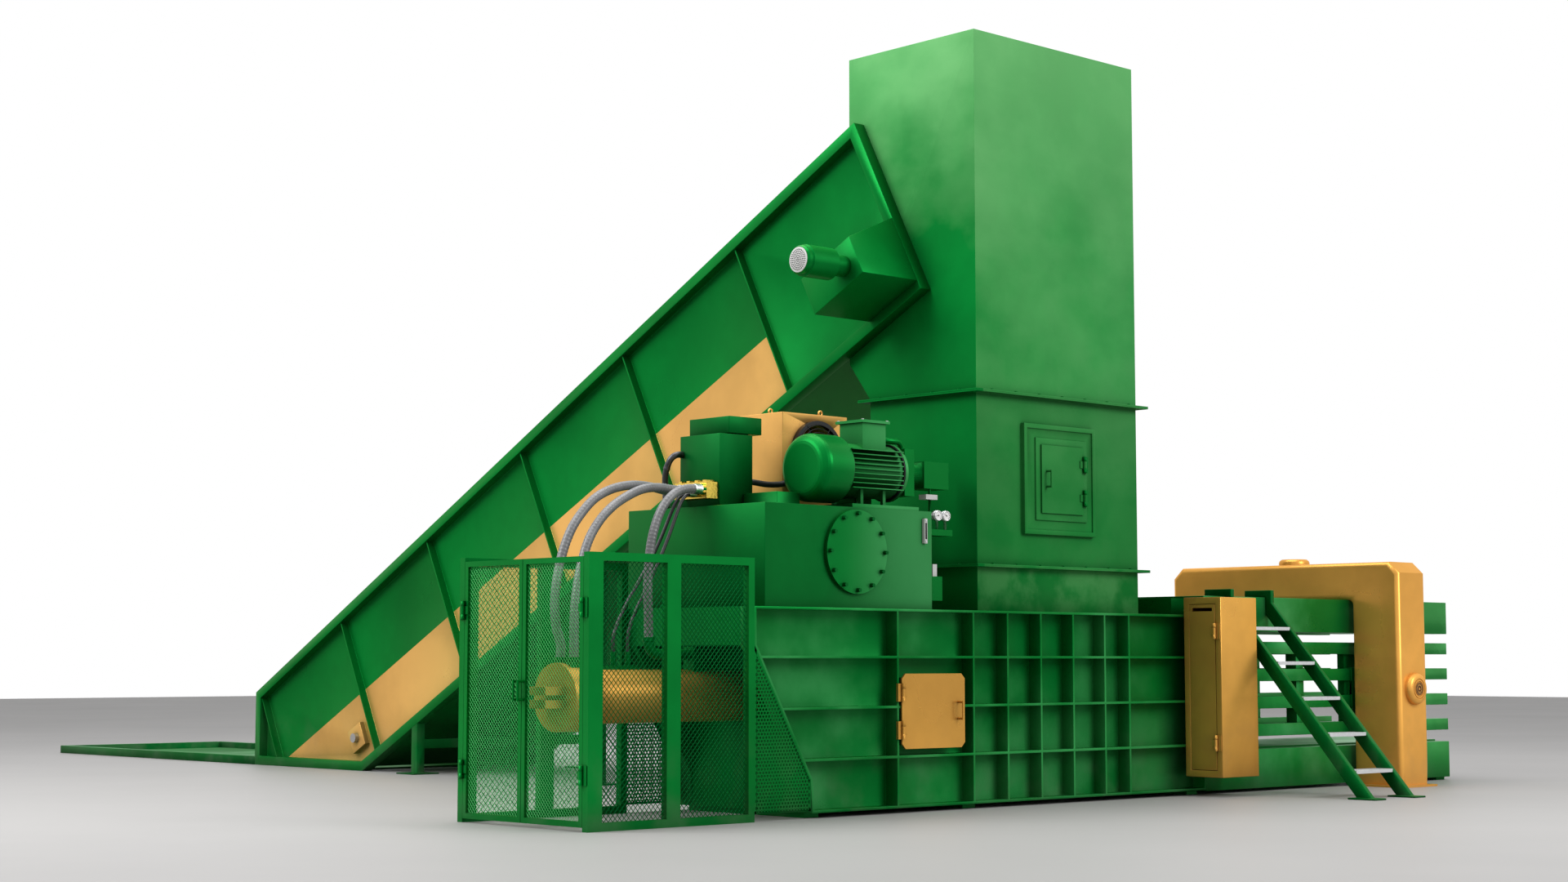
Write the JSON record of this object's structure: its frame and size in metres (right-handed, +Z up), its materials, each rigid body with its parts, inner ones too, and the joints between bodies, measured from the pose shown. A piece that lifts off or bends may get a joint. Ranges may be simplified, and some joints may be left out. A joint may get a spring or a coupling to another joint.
{
  "type": "recycling baler",
  "caption": "Horizontal channel baler: ram press with feed tower, inclined cleated conveyor, hydraulic power pack, cylinder cage, squeeze frame on the bale channel, cabinet and ladder.",
  "frame": {"origin": "on the floor under the middle cross bearer of the press, on the press centreline", "axes": "+X along the press to the bale exit, +Y along the conveyor to its loading end, +Z up"},
  "size_m": [11.099, 17.6578, 6.498],
  "materials": {
    "green": "satin green enamel",
    "gold": "satin ochre enamel",
    "steel": "zinc plated",
    "rod": "hard chrome",
    "brass": "passivated",
    "black": "satin black",
    "rubber": "matt"
  },
  "bodies": {
    "frame": {"press_walls": "green", "press_floor": "green", "press_roof": "green", "rear_bulkhead": "green", "base_bearers": "green", "cage_frame": "green", "cage_mesh": "green", "tower_base": "green", "tower_mid": "green", "tower_upper": "green", "tank": "green", "tank_cover": "green", "valve_cabinet": "green", "pump_motor": "green", "pump": "green", "hose_fittings": "green", "conveyor_panels": "green", "conveyor_deck": "green", "drive_console": "green", "drive_motor": "green", "trestles": "green", "loading_kerb": "green", "channel_frame": "green", "ladder": "green", "main_cylinder": "gold", "cooler": "gold", "portal": "gold", "cabinet_body": "gold", "hinge_pins": "steel", "bolts": "steel", "gauges": "steel", "ladder_treads": "steel", "valve_block": "brass", "cooler_shroud": "black", "hose_rear_a": "rubber", "hose_rear_b": "rubber", "hose_front": "rubber", "hose_pilot_a": "rubber", "hose_pilot_b": "rubber", "hose_tank": "rubber", "hose_cooler": "rubber", "belt": "rubber"},
    "ram": {"ram_body": "steel", "piston_rod": "rod"},
    "cage_door_near": {"cage_door_near": "green", "cage_door_near_mesh": "green"},
    "cage_door_far": {"cage_door_far": "green", "cage_door_far_mesh": "green"},
    "inspection_door": {"inspection_door": "gold"},
    "tower_door": {"tower_door": "green"},
    "cabinet_door": {"cabinet_door": "gold"},
    "head_drum": {"head_drum": "steel"},
    "tail_drum": {"tail_drum": "steel"},
    "cooler_fan": {"cooler_fan": "black"},
    "squeeze_wall_near": {"squeeze_wall_near": "green"},
    "squeeze_wall_far": {"squeeze_wall_far": "green"},
    "squeeze_platen": {"squeeze_platen": "green"},
    "plunger_near": {"plunger_near": "rod"},
    "plunger_far": {"plunger_far": "rod"},
    "plunger_top": {"plunger_top": "rod"}
  },
  "joints": [
    {"name": "ram_slide", "type": "slide", "parent": "frame", "child": "ram", "axis": [1, 0, 0], "range_m": [0, 2.25]},
    {"name": "cage_door_near_hinge", "type": "hinge", "parent": "frame", "child": "cage_door_near", "pos_m": [-4.041, -0.715, 0.98], "axis": [0, 0, 1], "range_deg": [0, 105]},
    {"name": "cage_door_far_hinge", "type": "hinge", "parent": "frame", "child": "cage_door_far", "pos_m": [-4.041, 0.715, 0.98], "axis": [0, 0, -1], "range_deg": [0, 105]},
    {"name": "inspection_door_hinge", "type": "hinge", "parent": "frame", "child": "inspection_door", "pos_m": [-0.8953, -0.806, 0.795], "axis": [0, 0, -1], "range_deg": [0, 110]},
    {"name": "tower_door_hinge", "type": "hinge", "parent": "frame", "child": "tower_door", "pos_m": [1.4803, -0.692, 2.73], "axis": [0, 0, 1], "range_deg": [0, 110]},
    {"name": "cabinet_door_hinge", "type": "hinge", "parent": "frame", "child": "cabinet_door", "pos_m": [2.704, -1.12, 0.96], "axis": [0, 0, 1], "range_deg": [0, 110]},
    {"name": "head_drum_spin", "type": "hinge", "parent": "frame", "child": "head_drum", "pos_m": [1.225, 0.37613, 4.52792], "axis": [1, 0, 0], "continuous": true},
    {"name": "tail_drum_spin", "type": "hinge", "parent": "frame", "child": "tail_drum", "pos_m": [1.225, 8.47071, 0.35], "axis": [1, 0, 0], "continuous": true},
    {"name": "fan_spin", "type": "hinge", "parent": "frame", "child": "cooler_fan", "pos_m": [-0.985, 0.2, 2.87], "axis": [0, 1, 0], "continuous": true},
    {"name": "squeeze_near_hinge", "type": "hinge", "parent": "frame", "child": "squeeze_wall_near", "pos_m": [3.15, -0.695, 0.925], "axis": [0, 0, 1], "range_deg": [0, 1]},
    {"name": "plunger_near_slide", "type": "slide", "parent": "frame", "child": "plunger_near", "axis": [0, 1, 0], "range_m": [0, 0.03936]},
    {"name": "squeeze_far_hinge", "type": "hinge", "parent": "frame", "child": "squeeze_wall_far", "pos_m": [3.15, 0.695, 0.925], "axis": [0, 0, -1], "range_deg": [0, 1]},
    {"name": "plunger_far_slide", "type": "slide", "parent": "frame", "child": "plunger_far", "axis": [0, -1, 0], "range_m": [0, 0.03936]},
    {"name": "squeeze_top_hinge", "type": "hinge", "parent": "frame", "child": "squeeze_platen", "pos_m": [3.15, 0, 1.56], "axis": [0, 1, 0], "range_deg": [0, 0.8]},
    {"name": "plunger_top_slide", "type": "slide", "parent": "frame", "child": "plunger_top", "axis": [0, 0, -1], "range_m": [0, 0.03149]}
  ],
  "couplings": [
    {"joint": "tail_drum_spin", "follows": "head_drum_spin", "ratio": 1},
    {"joint": "plunger_near_slide", "follows": "squeeze_near_hinge", "m_per_rad": 2.255},
    {"joint": "plunger_far_slide", "follows": "squeeze_far_hinge", "m_per_rad": 2.255},
    {"joint": "plunger_top_slide", "follows": "squeeze_top_hinge", "m_per_rad": 2.255}
  ]
}
